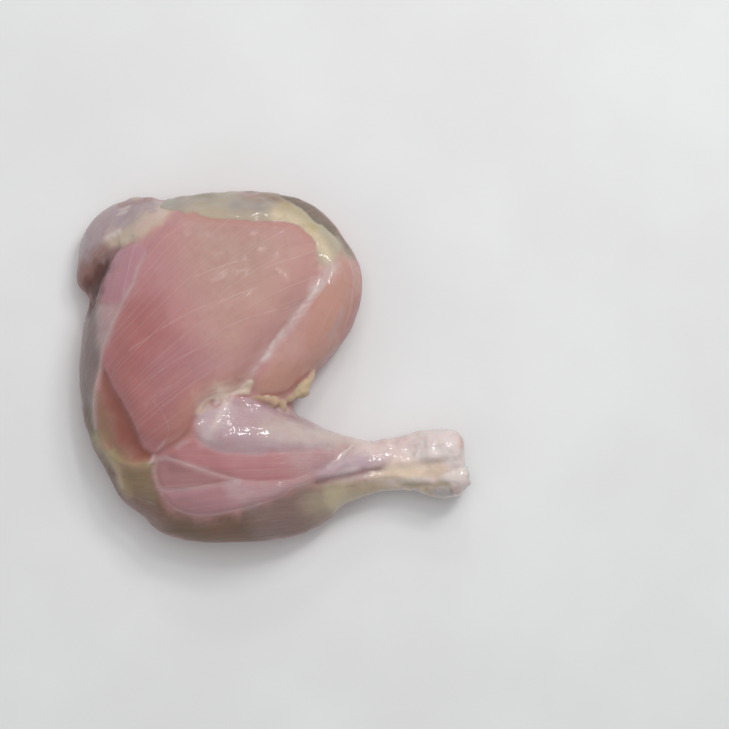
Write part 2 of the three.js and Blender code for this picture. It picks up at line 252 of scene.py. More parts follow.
# Ridges: (height, half width, path); a negative height is a groove
RIDGES = [
    # fascia beside the knee
    (0.25, 1.0, [
        (141, 272), (136, 288), (126, 304), (117, 322), (108, 344), (103, 366), (97, 390),
        (95, 410), (98, 430), (106, 446), (117, 459), (134, 465), (154, 462)]),
    (-0.4, 1.6, [(86, 300), (82, 330), (82, 360), (86, 400), (94, 436)]),
    (0.3, 1.6, [(104, 448), (116, 464), (124, 482), (130, 496)]),
    (-0.3, 0.7, [(106, 372), (113, 386), (121, 399), (130, 413), (137, 427), (143, 445)]),
    # seam from the knee's corner up to its hollow, and the pale rim of the hollow
    (-0.2, 1.3, [(157, 455), (172, 449), (184, 440), (192, 428), (196, 418)]),
    (0.25, 1.7, [(201, 410), (207, 402), (214, 397), (227, 393), (240, 390)]),
    (-0.2, 0.5, [(203, 410), (208, 404), (214, 400), (221, 399), (230, 400)]),
    (0.3, 1.2, [(233, 399), (228, 405), (222, 414), (216, 426)]),
    # seams of the drumstick
    (-0.25, 1.2, [(201, 442), (214, 449), (232, 454), (262, 455), (300, 452), (335, 449)]),
    (0.15, 0.7, [(250, 426), (258, 430)]),
    (0.15, 0.7, [(261, 429), (270, 429)]),
    # tendons and creases of the shank
    (0.55, 0.6, SHANK_CORD),
    (-0.6, 1.3, [(318, 483), (336, 478), (352, 475), (368, 471), (384, 469)]),
    (0.4, 1.8, [(352, 464), (378, 461), (408, 460), (436, 456)]),
    (-0.35, 1.2, [(372, 449), (396, 448), (414, 447)]),
    (0.4, 1.7, [(385, 441), (408, 437), (436, 435), (455, 435)]),
    (0.2, 0.5, [(438, 444), (448, 443), (456, 443)]),
    (-0.25, 1.4, [(414, 466), (430, 465), (444, 463)]),
    (0.4, 1.2, [(366, 478), (388, 475), (410, 478), (430, 479)]),
    (-0.4, 1.2, [(366, 485), (390, 484), (412, 486), (428, 485), (446, 484)]),
    (-0.35, 0.6, [(451, 489), (453, 494), (452, 499)]),
    (-0.3, 1.0, [(453, 432), (457, 447), (460, 462)]),
    # folds of the back meat
    (-1.2, 1.8, [(86, 305), (95, 292), (100, 276), (107, 261), (117, 248), (130, 241)]),
    (0.5, 1.3, [(88, 262), (97, 242), (110, 224), (130, 210), (152, 202)]),
    (-0.35, 1.0, [(110, 226), (124, 218), (140, 211), (158, 206)]),
    (-0.5, 0.8, [(120, 200), (136, 199), (152, 199), (164, 199)]),
    (0.6, 1.0, [(128, 195), (140, 193), (152, 195)]),
    # bands at the edge of the back of the thigh
    (-0.4, 1.2, [(341, 262), (348, 277), (350, 295), (346, 314), (338, 334)]),
    (-0.35, 0.9, [(282, 196), (296, 204), (310, 219), (326, 226), (340, 240), (350, 258)]),
]

# Small rounded forms: (height, half length, half width, turn in degrees, pixel)
KNOBS = [
    # hock
    (0.4, 1.4, 1.0, 0, (410, 489)),
    (0.45, 1.8, 1.0, 10, (420, 490)),
    (0.4, 1.6, 1.0, 0, (398, 488)),
    (0.45, 1.5, 1.0, 0, (430, 488)),
    (0.5, 1.3, 0.9, 60, (458, 492)),
    (0.5, 1.2, 0.8, 30, (467, 474)),
    (0.5, 1.1, 0.8, 80, (469, 482)),
    # shank
    (0.25, 4.0, 1.8, 0, (404, 442)),
    (0.25, 1.2, 0.9, 70, (427, 444)),
    (0.25, 1.0, 0.8, 80, (433, 443)),
    (0.25, 1.4, 0.8, 50, (417, 454)),
    (0.2, 1.2, 0.9, 0, (424, 455)),
    (0.2, 0.9, 0.7, 0, (397, 445)),
    (0.2, 0.9, 0.7, 0, (403, 464)),
    (0.2, 1.0, 0.7, 0, (442, 468)),
    (0.25, 1.2, 0.9, 20, (401, 461)),
    (0.2, 1.0, 0.7, 60, (384, 453)),
    (0.2, 1.0, 0.8, 0, (366, 456)),
    (0.2, 1.0, 0.8, 40, (373, 457)),
    # knee
    (0.25, 0.9, 0.6, 70, (231, 412)),
    (0.5, 4.0, 2.6, -35, (142, 508)),
    (0.3, 1.4, 1.1, 40, (153, 462)),
    # back meat and bare fat
    (0.5, 1.8, 1.2, 60, (167, 202)),
    (0.3, 1.1, 0.8, 30, (105, 232)),
    (0.35, 1.1, 0.8, 0, (112, 235)),
    (0.3, 1.0, 0.7, 60, (118, 232)),
    (0.3, 1.6, 0.9, 20, (285, 204)),
    (0.3, 1.3, 0.7, -20, (322, 225)),
]


class Lump(NamedTuple):
    """A lobed lump of fat in the fold of the knee, half sunk in what lies under it."""

    pixel: tuple
    half_length: float
    half_width: float
    turn: float  # degrees
    height: float | None = None  # of its middle, where nothing lies under it


LUMPS = [
    Lump((260.5, 398.5), 2.4, 0.9, -6),
    Lump((267, 400), 2.6, 1.5, -14),
    Lump((274, 402), 2.5, 2.0, -30),
    Lump((281, 403.5), 2.8, 1.8, -66),
    Lump((285.5, 409), 1.7, 1.1, -55),
    Lump((290, 397), 2.3, 1.8, 20),
    Lump((297, 392), 2.9, 2.3, 45),
    Lump((303, 386.5), 3.6, 2.9, 60),
    Lump((309.5, 378.5), 3.6, 1.9, 65),
    Lump((304, 393), 2.6, 2.0, 25, 20.0),
]

# Areas painted in turn: (tissue, opacity, softness of the edge, outline)
AREAS = [
    # the thigh's face and the fat behind it
    (MUSCLE_PALE, 0.9, 14, [
        (200, 235), (250, 230), (310, 236), (320, 262), (300, 305), (262, 350), (226, 372),
        (198, 310)]),
    (MUSCLE_TAN, 0.7, 12, [(188, 224), (262, 226), (280, 252), (250, 288), (202, 288)]),
    (MUSCLE_RED, 0.78, 12, [
        (126, 306), (146, 294), (160, 303), (174, 328), (194, 362), (194, 400), (184, 425),
        (150, 452), (118, 395), (104, 362), (112, 330)]),
    (MUSCLE_RED, 0.4, 6, [
        (138, 300), (156, 298), (168, 320), (180, 345), (190, 370), (194, 400), (192, 425),
        (176, 442), (158, 454), (146, 446), (134, 418), (118, 394), (106, 370), (110, 335),
        (124, 312)]),
    (MUSCLE_LILAC, 0.35, 6, [
        (158, 352), (214, 350), (222, 372), (205, 400), (178, 420), (152, 402)]),
    (ORANGE, 0.5, 5, [(178, 412), (192, 398), (198, 430), (186, 444), (174, 448)]),
    (ORANGE_PALE, 0.7, 3.5, [
        (188, 412), (192, 398), (204, 386), (226, 376), (246, 376), (240, 390), (222, 392),
        (204, 400), (197, 414)]),
    # painted shade on the fat where the back of the thigh turns down
    (FAT_SHADED, 0.9, 1.8, [
        (275, 192), (286, 203), (298, 213), (309, 225), (321, 233), (331, 240), (348, 260),
        (380, 240), (330, 170), (285, 175)]),
    (FAT_SOFT, 0.55, 2.0, [
        (330, 236), (340, 240), (348, 252), (358, 268), (362, 290), (353, 286), (349, 270),
        (340, 258), (334, 248)]),
    # the strap at the front of the thigh and the membranes beside it
    (MUSCLE_STRAP, 0.9, 2.2, STRAP),
    # the left band, darkened as painted shade
    (MEMBRANE_BAND_SHADED, 0.92, 1.6, LEFT_BAND),
    (MEMBRANE, 0.7, 2.0, [
        (98, 303), (110, 306), (124, 305), (119, 322), (112, 340), (103, 350), (97, 336),
        (96, 316)]),
    # painted shade on the membrane at the left edge
    (MEMBRANE_SHADED, 0.6, 2.0, [(84, 300), (94, 296), (98, 312), (94, 340), (84, 345)]),
    # painted shade on the sides, and the recess at the knee, its dark brown partly painted shade
    (SHADED, 0.7, 4, [(84, 410), (96, 425), (104, 450), (118, 470), (112, 500), (90, 450)]),
    (SHADED, 0.9, 3.5, UNDER_SHIN),
    (SHADED_OLIVE, 0.7, 3, [
        (128, 468), (152, 466), (156, 480), (160, 494), (150, 500), (136, 494), (124, 482)]),
    (MUSCLE_BROWN, 1.0, 1.2, RECESS),
    (MEMBRANE_PINK, 0.15, 3.0, [
        (98, 372), (106, 378), (112, 396), (115, 415), (120, 436), (134, 456), (112, 455),
        (98, 430), (94, 400)]),
    (SHADED_OLIVE, 0.5, 5, [
        (96, 390), (106, 415), (113, 438), (128, 456), (128, 464), (113, 459), (102, 444),
        (95, 422)]),
    # the back of the thigh
    (MUSCLE_BACK, 0.95, 1.3, LOBE),
    (ORANGE, 0.5, 4, [(318, 296), (340, 276), (352, 300), (338, 330), (316, 350), (304, 340)]),
    # the lobe's lower end, darker and more orange, partly painted shade where it turns down into
    # the fold
    (MUSCLE_LOBE_SHADE, 0.75, 3.5, [
        (256, 397), (262, 380), (276, 366), (298, 360), (312, 364), (306, 376), (290, 392),
        (270, 399)]),
    # the drumstick
    (MUSCLE_SHIN, 0.95, 1.4, SHIN_UPPER),
    (MUSCLE_ROSE, 0.9, 1.0, SHIN_MIDDLE),
    (MUSCLE_LILAC, 0.85, 1.0, SHIN_LOWER),
    (MEMBRANE, 0.5, 2.5, [
        (225, 484), (260, 485), (300, 483), (330, 474), (326, 480), (295, 488), (262, 500),
        (236, 500)]),
    (MEMBRANE, 0.6, 5, [(290, 452), (352, 446), (340, 470), (300, 478)]),
    # painted shade over the lower side of the drumstick
    (MEMBRANE_SHADED, 0.7, 5, [
        (250, 508), (280, 497), (310, 485), (345, 482), (372, 480), (400, 486), (380, 510),
        (330, 535), (270, 555)]),
    (TENDON_OLIVE, 0.6, 7, [
        (320, 486), (350, 484), (372, 482), (398, 486), (385, 500), (345, 515), (318, 516),
        (306, 503)]),
    (SINEW, 0.95, 1.6, CALF),
    (SINEW_CREAM, 0.75, 6, [
        (266, 420), (290, 418), (320, 426), (356, 437), (345, 446), (310, 444), (280, 440),
        (262, 434)]),
    (SINEW_PINK, 0.5, 3, [(234, 434), (250, 434), (262, 444), (250, 450), (228, 447)]),
    # the shank
    (TENDON, 0.95, 3.5, SHANK),
    (SINEW_CREAM, 0.7, 5, [(318, 426), (352, 434), (372, 440), (360, 446), (334, 445)]),
    # whitish tendon of the hock, with a broad painted highlight on it
    (TENDON_WHITE_AND_SHEEN, 0.75, 7, [
        (412, 434), (440, 430), (460, 434), (466, 470), (440, 474), (418, 462)]),
    (TENDON_WARM, 0.85, 5, [
        (374, 466), (400, 462), (436, 462), (446, 470), (436, 482), (400, 482), (372, 478)]),
    (TENDON_LILAC, 0.85, 3, [
        (322, 468), (340, 458), (364, 454), (386, 457), (384, 466), (366, 471), (345, 475),
        (322, 479)]),
    (TENDON_OLIVE, 0.9, 3, [
        (330, 487), (350, 483), (372, 483), (396, 484), (420, 486), (446, 484), (440, 500),
        (400, 506), (350, 520), (326, 500)]),
    # the wedge's white is partly tendon and partly a painted highlight
    (TENDON_WHITE_AND_SHEEN, 0.6, 0.8, GLINT_WEDGE),
    (TORN, 0.85, 0.8, TORN_END),
    (CARTILAGE_BLUE, 0.9, 0.8, HOCK_BEAD),
    # the strip of back meat
    (BACK_GREY, 0.95, 2.0, FLAP),
    (BACK_BROWN, 0.95, 4, [
        (62, 300), (58, 266), (82, 258), (98, 242), (114, 244), (106, 262), (98, 288), (90, 306)]),
    # painted shade in the fold between the back meat and the strap
    (DEEP_SHADE, 0.95, 3, [
        (76, 310), (82, 292), (90, 274), (98, 263), (108, 262), (106, 286), (94, 310)]),
    (FAT_SOFT, 0.85, 2.6, [
        (103, 236), (118, 228), (130, 221), (145, 213), (156, 209), (164, 204), (172, 212),
        (166, 222), (154, 233), (144, 240), (126, 243), (108, 242)]),
    (FAT_SOFT, 0.6, 3.0, [(316, 262), (322, 256), (334, 256), (340, 262), (332, 272), (320, 272)]),
    # the pit of the knee
    (FAT_LEAF, 0.9, 0.5, KNEE_FLAP),
    (MEMBRANE_PINK, 0.8, 0.8, PIT),
]

# Strokes painted in turn after the areas: (tissue, opacity, half width, path)
STROKES = [
    # painted shade under the edge of the fat
    (ORANGE, 0.4, 1.0, [
        (188, 217), (212, 222), (240, 225), (262, 228), (285, 228), (300, 233), (311, 242)]),
    # silver seam behind the thigh's face, its white streaks partly painted glints
    (MEMBRANE_PINK, 0.75, 2.6, [(334, 266), (326, 277), (318, 286)]),
    (MEMBRANE_PINK, 0.7, 1.8, [(322, 282), (310, 298), (298, 315), (286, 332)]),
    (MEMBRANE_PINK, 0.48, 1.6, [(290, 326), (277, 342), (266, 356), (256, 369), (247, 382)]),
    (LACE, 0.4, 1.7, [(319, 287), (311, 301), (302, 315), (293, 328)]),
    (LACE, 0.25, 1.8, [(331, 272), (325, 282), (319, 290)]),
    (LACE, 0.28, 1.5, [(283, 338), (276, 348), (270, 356)]),
    (TORN, 0.45, 0.45, [(317, 289), (314, 295), (310, 301)]),
    (TORN, 0.3, 0.4, [(305, 306), (300, 313)]),
    (TORN, 0.25, 0.4, [(295, 320), (291, 326)]),
    (TORN, 0.25, 0.5, [(284, 332), (280, 338)]),
    (TORN, 0.45, 0.8, [(275, 343), (272, 349)]),
    (TORN, 0.5, 1.1, [(270, 355), (264, 361)]),
    (TORN, 0.25, 0.7, [(258, 368), (253, 375)]),
    # back of the thigh
    (MUSCLE_RED, 0.4, 2.6, [(356, 300), (352, 318), (344, 338)]),
    (BLOOD_AND_SHADOW, 0.5, 0.7, [(262, 396), (276, 395), (288, 390), (298, 382), (308, 373)]),
    (ORANGE, 0.6, 0.7, [(328, 288), (322, 297), (312, 310)]),
    (MEMBRANE, 0.4, 1.0, [(330, 338), (338, 322), (342, 310)]),
    # rim and hollow of the pit of the knee
    (FAT_RIM, 0.25, 3.0, [(204, 403), (211, 395), (220, 391)]),
    (FAT_RIM, 0.6, 2.6, [(223, 391), (232, 390), (242, 388)]),
    (FAT_RIM, 0.95, 1.1, [
        (201, 412), (206, 405), (212, 399.5), (219, 397), (228, 395.5), (238, 393), (246, 390)]),
    (TENDON_WHITE_AND_SHEEN, 0.3, 2.8, [(231, 406), (221, 420), (208, 438)]),
    (TENDON, 0.45, 1.0, [(233, 399), (228, 405), (222, 414), (215, 428)]),
    # painted shade along the lower edge of the rim
    (ORANGE, 0.5, 0.6, [(202, 413), (207, 407), (213, 403), (221, 401), (230, 401)]),
    (BLOOD_AND_SHADOW, 0.5, 0.45, [(214, 402), (213.5, 405), (217, 408), (221, 405)]),
    (TORN, 0.7, 0.4, [(218, 401), (219.5, 403)]),
    # painted shadow under the knee's flap
    (BLOOD_AND_SHADOW, 0.4, 0.5, [(240, 396.5), (250, 397)]),
    # edges of the calf
    (SINEW_PINK, 0.7, 1.5, [(236, 404), (256, 405), (274, 411), (292, 418), (312, 426)]),
    (SINEW_PINK, 0.5, 1.6, [(214, 447), (240, 451), (270, 450), (300, 448)]),
    # membranes between the muscles of the shin
    (MEMBRANE, 0.5, 0.9, [
        (158, 460), (168, 458), (182, 462), (197, 467), (212, 472), (226, 477), (242, 481)]),
    (MEMBRANE, 0.5, 0.7, [(163, 490), (180, 490), (197, 488), (212, 486), (228, 484), (242, 482)]),
    (MEMBRANE, 0.4, 0.5, [(176, 508), (190, 513), (205, 514), (218, 513), (240, 509), (262, 503)]),
    (MEMBRANE, 0.45, 0.8, [(158, 462), (156, 472), (159, 484), (164, 494)]),
    # membranes and fascia at the left of the knee
    (MEMBRANE, 0.55, 0.9, FASCIA),
    (MEMBRANE, 0.4, 1.1, [(120, 247), (111, 256), (104, 270), (100, 284), (99, 298)]),
    # olive membrane, partly a painted greenish reflection
    (MEMBRANE_OLIVE, 0.8, 2.0, [
        (97, 438), (105, 448), (114, 459), (121, 470), (124, 482), (130, 494)]),
    (FAT_SOFT, 0.35, 1.2, [(110, 455), (117, 465), (121, 476), (123, 486)]),
    (MEMBRANE_OLIVE, 0.7, 1.5, [(114, 457), (128, 464), (140, 466), (152, 464)]),
    # painted shade on the lower left of the knee
    (MEMBRANE_SHADED, 0.6, 3.4, [(130, 502), (144, 512), (160, 524)]),
    (TORN, 0.35, 0.6, [(151, 464), (154, 461), (156, 456)]),
    (MEMBRANE, 0.5, 0.5, [(160, 450), (164, 446), (167, 442)]),
    (MEMBRANE, 0.5, 0.8, [(180, 448), (184, 444), (190, 442)]),
    # shank
    # painted shade in the crease under the shank's tendons
    (CREASE_SHADE, 0.75, 1.2, [(318, 483), (336, 478), (352, 475), (368, 471), (380, 469)]),
    (TORN, 0.7, 0.55, [(352, 446), (345, 453), (338, 460)]),
    (TENDON, 0.5, 0.9, [(340, 460), (334, 464), (329, 466)]),
    (TORN, 0.6, 0.9, [(410, 479), (420, 478), (432, 480)]),
    (SHADED_OLIVE, 0.45, 1.0, [(404, 486), (420, 485), (434, 485), (450, 485)]),
    (TENDON, 0.6, 0.8, [(404, 489), (412, 490), (422, 491)]),
    (ORANGE, 0.6, 1.2, [(456, 429), (461, 436), (462, 446)]),
    (ORANGE_PALE, 0.6, 0.7, [(430, 496), (440, 499), (450, 500)]),
    # painted shade in the crack at the hock
    (DEEP_SHADE, 0.4, 0.5, [(451, 490), (452, 495), (451, 499)]),
    (SHADED, 0.35, 0.8, [(456, 489), (460, 494), (457, 499)]),
    (SHADED, 0.5, 0.8, [(471, 470), (472, 480), (469, 488)]),
    # back meat
    (BLOOD_AND_SHADOW, 0.7, 0.8, [(143, 196), (152, 195.5), (163, 198)]),
    (FAT_SOFT, 0.7, 0.9, [(130, 196), (140, 193), (147, 194)]),
    (BACK_BROWN, 0.8, 1.4, [(119, 202), (134, 201), (150, 200)]),
    (TORN, 0.5, 0.5, [(118, 209), (124, 207), (129, 205)]),
    (TORN, 0.4, 0.5, [(116, 214), (126, 211)]),
    (FAT_SOFT, 0.8, 1.3, [(165, 206), (167, 199)]),
    # painted shade in the fold between the back meat and the strap
    (DEEP_SHADE, 0.6, 3.6, [(84, 296), (93, 280), (98, 270)]),
    (DEEP_SHADE, 0.8, 1.5, [(86, 306), (95, 290), (101, 274), (105, 265)]),
    (DEEP_SHADE, 0.35, 1.4, [(104, 264), (109, 255), (117, 248)]),
    (FAT_ROSE, 0.6, 1.8, [(138, 229), (150, 222), (162, 214)]),
    (BACK_GREY, 0.5, 1.6, [(116, 228), (128, 223), (138, 218)]),
    (TENDON_WHITE_AND_SHEEN, 0.5, 1.2, [(106, 236), (112, 234), (118, 231)]),
    (FAT_SOFT, 0.7, 1.0, [(112, 243), (128, 238), (146, 235)]),
]

# Bare fat over the top of the thigh
FAT_AREA = [
    (160, 207), (170, 212), (181, 213), (187, 216), (193, 214), (201, 217), (212, 220.5),
    (226, 221.5), (240, 222), (255, 224), (270, 223.5), (285, 224.5), (295, 226.5), (301, 229),
    (306, 234), (312, 239), (316, 244), (317, 252), (319, 260), (326, 265), (333, 263), (338, 256),
    (340, 246), (334, 235), (324, 227), (313, 220), (302, 208), (290, 200), (279, 192),
    (270, 176), (230, 174), (190, 178), (168, 196),
]
FAT_END = (329, 262)  # where the fat runs out level with the meat

# Tones of the bare fat, painted in turn: (fat, opacity, half width, path)
FAT_TONES = [
    (FAT_PALE, 0.8, 2.6, [(186, 209), (210, 215), (240, 217), (262, 219)]),
    # painted shade along the top edge of the fat
    (FAT_RIM_SHADE, 0.95, 4.5, [(158, 204), (172, 196), (188, 192), (208, 190)]),
    (FAT_BLUE, 0.7, 3.0, [(166, 206), (176, 204), (186, 205)]),
    (FAT_BLUE, 0.9, 3.6, [(236, 206), (250, 207), (268, 209)]),
    (FAT_BROWN, 0.95, 3.0, [(248, 194), (262, 197), (275, 200), (285, 204)]),
    (FAT_PINK, 0.9, 1.2, [(240, 193), (248, 195), (256, 194)]),
    (FAT_CREAM, 0.9, 2.6, [(276, 217), (292, 221), (304, 227), (314, 236), (322, 248), (328, 260)]),
    (FAT_OLIVE, 0.9, 2.4, [(282, 207), (292, 210), (303, 216), (314, 227)]),
    (FAT_PALE, 0.7, 1.8, [(324, 229), (334, 240), (340, 252)]),
]

# Tones of the fat lumps
LUMP_TONES = [
    (LUMP_ROSE, 0.8, 2.0, [(258, 400), (272, 403), (284, 409)]),
    (LUMP_ROSE, 0.6, 1.4, [(287, 397), (293, 394)]),
]

# Pale threads in three sets, so that the threads of one set are never close to each other:
# (opacity, half width, path)
THREADS = [
    [
        (0.2, 0.5, FASCIA),
        (0.2, 0.4, [
            (162, 456), (168, 457), (182, 462), (197, 467), (212, 472), (225, 476), (240, 480),
            (257, 482), (275, 481), (295, 480), (312, 472), (327, 465)]),
        (0.22, 0.34, [
            (160, 480), (167, 495), (175, 507), (192, 514), (212, 515), (240, 509), (267, 502),
            (282, 496), (295, 487), (312, 482)]),
    ],
    [
        (0.24, 0.4, [(166, 492), (180, 490), (197, 488), (212, 485), (228, 482), (242, 481)]),
        (0.22, 0.4, [
            (118, 249), (108, 261), (102, 275), (98, 290), (97, 303), (90, 316), (84, 334)]),
        (0.14, 0.36, [(157, 454), (166, 444), (172, 430), (168, 418), (160, 406), (154, 396)]),
        (0.6, 0.45, SHANK_CORD),
        (0.26, 0.4, [(350, 262), (353, 280), (351, 306), (342, 334)]),
        (0.25, 0.4, [(137, 246), (134, 262), (130, 280), (126, 300)]),
    ],
    [
        (0.22, 0.36, [(206, 423), (213, 418), (222, 408), (232, 404)]),
        (0.22, 0.36, [(132, 355), (156, 338), (188, 319), (222, 303)]),
        (0.22, 0.36, [(150, 384), (180, 363), (214, 345)]),
        (0.22, 0.36, [(196, 282), (222, 271), (250, 262)]),
        (0.24, 0.36, [(212, 312), (234, 300), (262, 290)]),
        (0.19, 0.36, [(228, 330), (258, 318), (292, 309)]),
        (0.19, 0.32, [(150, 262), (166, 243), (182, 231)]),
        (0.19, 0.32, [(262, 274), (284, 264), (306, 258)]),
        (0.22, 0.32, [(148, 408), (160, 397), (176, 386)]),
        (0.2, 0.36, [(130, 494), (144, 500), (158, 504)]),
    ],
]

# The inner side, which lies underneath, in the pixels above it
AREAS_BELOW = [
    (MUSCLE_RED, 0.8, 3, [
        (110, 300), (170, 240), (240, 250), (250, 300), (210, 370), (170, 430), (120, 440),
        (95, 370)]),
    (MUSCLE_ROSE, 0.9, 2, [
        (250, 240), (330, 250), (352, 300), (320, 360), (270, 392), (222, 380), (250, 310)]),
    (SINEW, 0.8, 2, [(190, 424), (240, 410), (320, 432), (360, 446), (300, 458), (220, 462)]),
    (MUSCLE_LILAC, 0.9, 2, [
        (150, 470), (220, 466), (300, 462), (350, 456), (320, 482), (250, 510), (180, 510)]),
    (TENDON, 0.95, 5, [(340, 420), (490, 410), (495, 520), (400, 505), (345, 485)]),
    (MUSCLE_BROWN, 0.8, 4, [(66, 305), (55, 250), (85, 195), (150, 175), (172, 200), (110, 260)]),
]
STROKES_BELOW = [
    (MEMBRANE_PINK, 0.5, 2.4, [(246, 244), (252, 300), (226, 352), (200, 400), (180, 440)]),
    (MEMBRANE, 0.6, 0.6, [(246, 240), (253, 300), (227, 352), (201, 398)]),
    (SINEW, 0.6, 3.4, [(200, 494), (270, 475), (340, 466)]),
    (TENDON, 0.6, 1.2, [(250, 482), (290, 472), (330, 466), (370, 462)]),
    (FAT_SOFT, 0.6, 4.5, [(150, 212), (200, 206), (260, 206), (300, 218)]),
    (FAT_ROSE, 0.6, 3.6, [(200, 410), (230, 400), (262, 398), (284, 404)]),
    (MEMBRANE, 0.4, 0.5, [(186, 506), (230, 494), (290, 484), (340, 470)]),
    (BLOOD_AND_SHADOW, 0.3, 0.4, [(160, 310), (176, 340), (188, 380), (204, 402)]),
]

# Ridges of the inner side, as above
RIDGES_BELOW = [
    (-0.6, 1.6, [(246, 236), (252, 300), (226, 352), (200, 400), (180, 440)]),
    (-0.7, 2.2, [(110, 452), (150, 446), (186, 432), (230, 404), (290, 404)]),
    (0.5, 2.2, [(220, 488), (270, 475), (330, 466), (380, 462)]),
    (-0.4, 1.4, [(186, 506), (230, 494), (290, 484), (340, 472)]),
    (-0.4, 1.4, [(150, 230), (180, 300), (196, 360)]),
]


def to_mm(points):
    """One pixel of the photograph, or a row of them, to millimetres in the frame."""
    return (np.asarray(points, float) - ORIGIN_PIXEL) * (MM_PER_PIXEL, -MM_PER_PIXEL)


def smooth_line(points, closed=False, parts=4):
    """A smooth line through points, as more points."""
    points = np.asarray(points, float)
    if closed:
        points = np.vstack([points[-1:], points, points[:2]])
    else:
        points = np.vstack([2 * points[0] - points[1], points, 2 * points[-1] - points[-2]])
    before, start, end, after = points[:-3], points[1:-2], points[2:-1], points[3:]
    out = []
    for t in np.arange(parts) / parts:
        out.append(0.5 * (2 * start + (end - before) * t
                          + (2 * before - 5 * start + 4 * end - after) * t ** 2
                          + (3 * start - before - 3 * end + after) * t ** 3))
    line = np.stack(out, 1).reshape(-1, points.shape[1])
    return line if closed else np.vstack([line, end[-1]])


def smoothstep(low, high, value):
    """0 at low and before it, 1 at high and past it, and smooth between them."""
    share = np.clip((value - low) / (high - low), 0, 1)
    return share * share * (3 - 2 * share)


def linear(colour):
    """A colour as displayed, 0 to 255, in linear light."""
    value = np.asarray(colour, float) / 255
    return np.where(value <= 0.04045, value / 12.92, ((value + 0.055) / 1.055) ** 2.4)


def channels(tone):
    """A tissue or a fat as one row: its colour in linear light, then its other values."""
    colour, *others = tone
    return np.hstack([linear(colour), others])


def waves(at, length, seed, count=28):
    """A smooth random field with waves of about one length, mostly between -1 and 1."""
    rng = np.random.default_rng(seed)
    directions = rng.normal(size=(count, at.shape[1]))
    directions /= np.linalg.norm(directions, axis=1)[:, None]
    lengths = length * rng.uniform(0.7, 1.5, count)
    phases = rng.uniform(0, 2 * np.pi, count)
    total = np.zeros(len(at))
    for direction, wave, phase in zip(directions, lengths, phases):
        total += np.cos(at @ direction * (2 * np.pi / wave) + phase)
    return total / np.sqrt(count * 1.2)


def turned(away, degrees):
    """How far flat vectors go along a direction, and across it."""
    angle = math.radians(degrees)
    along = away @ (math.cos(angle), math.sin(angle))
    across = away @ (-math.sin(angle), math.cos(angle))
    return along, across


class Plan:
    """The skin's vertices as seen from above, in millimetres."""

    def __init__(self, places):
        self.at = places[:, :2]
        self.known = {}  # what inside() has found, by outline

    def track(self, path, reach=8.0):
        """Distance to a path, positive on its left, and how far along it, from 0 to 1."""
        return self.measure(smooth_line(to_mm(path)), reach)

    def measure(self, line, reach):
        """The same for a line in millimetres; vertices beyond the reach are left far away."""
        at = self.at
        near = np.all((at > line.min(0) - reach) & (at < line.max(0) + reach), axis=1)
        spots = at[near]
        nearest = np.full(len(spots), FAR)
        side = np.ones(len(spots))
        along = np.zeros(len(spots))
        lengths = np.linalg.norm(np.diff(line, axis=0), axis=1)
        run = np.concatenate([[0], np.cumsum(lengths)]) / lengths.sum()
        for number, (start, end) in enumerate(zip(line[:-1], line[1:])):
            step = end - start
            away = spots - start
            share = np.clip(away @ step / max(step @ step, 1e-9), 0, 1)
            gap = np.hypot(*(away - share[:, None] * step).T)
            closer = gap < nearest
            nearest[closer] = gap[closer]
            cross = step[0] * away[:, 1] - step[1] * away[:, 0]
            side[closer] = np.where(cross[closer] > 0, 1, -1)
            along[closer] = (run[number] + share * (run[number + 1] - run[number]))[closer]
        gaps = np.full(len(at), FAR)
        gaps[near] = nearest * side
        runs = np.zeros(len(at))
        runs[near] = along
        return gaps, runs

    def inside(self, outline, reach=24.0):
        """How far each vertex is inside an outline; negative outside."""
        key = id(outline)
        if key not in self.known:
            ring = smooth_line(to_mm(outline), closed=True)
            ring = np.vstack([ring, ring[:1]])
            gap = np.abs(self.measure(ring, reach)[0])
            odd = np.zeros(len(self.at), bool)
            x, y = self.at.T
            for (ax, ay), (bx, by) in zip(ring[:-1], ring[1:]):
                if ay != by:
                    crosses = (ay > y) != (by > y)
                    odd ^= crosses & (x < ax + (y - ay) * (bx - ax) / (by - ay))
            self.known[key] = np.where(odd, gap, -gap)
        return self.known[key]

    def knob(self, half_length, half_width, turn, pixel):
        """Distance from the middle of an oval, 1 on its outline."""
        along, across = turned(self.at - to_mm(pixel), turn)
        return np.hypot(along / half_length, across / half_width)

    def fat_fade(self, least):
        """1, but falling to the least value at the end of the bare fat."""
        away = np.hypot(*(self.at - to_mm(FAT_END)).T)
        return least + (1 - least) * smoothstep(*FAT_FADE, away)


def read_mesh(mesh):
    """Vertex places in millimetres, and vertex normals."""
    places, normals = np.empty((2, len(mesh.vertices) * 3), np.float32)
    mesh.vertices.foreach_get("co", places)
    mesh.vertex_normals.foreach_get("vector", normals)
    return places.reshape(-1, 3).astype(float) / MM, normals.reshape(-1, 3).astype(float)


def write_places(mesh, places):
    mesh.vertices.foreach_set("co", (places * MM).astype(np.float32).ravel())
    mesh.update()


def relax(mesh, rounds, share=0.5, push=1.04):
    """Evens the surface out: each pull inward is followed by a slightly stronger push outward."""
    places, _ = read_mesh(mesh)
    edges = np.empty(len(mesh.edges) * 2, np.int32)
    mesh.edges.foreach_get("vertices", edges)
    a, b = edges.reshape(-1, 2).T
    count = np.bincount(a, minlength=len(places)) + np.bincount(b, minlength=len(places))
    for turn in range(2 * rounds):
        mean = np.zeros_like(places)
        for axis in range(3):
            mean[:, axis] += np.bincount(a, places[b, axis], len(places))
            mean[:, axis] += np.bincount(b, places[a, axis], len(places))
        mean /= count[:, None]
        pull = share if turn % 2 == 0 else -share * push
        places += (mean - places) * pull
    write_places(mesh, places)


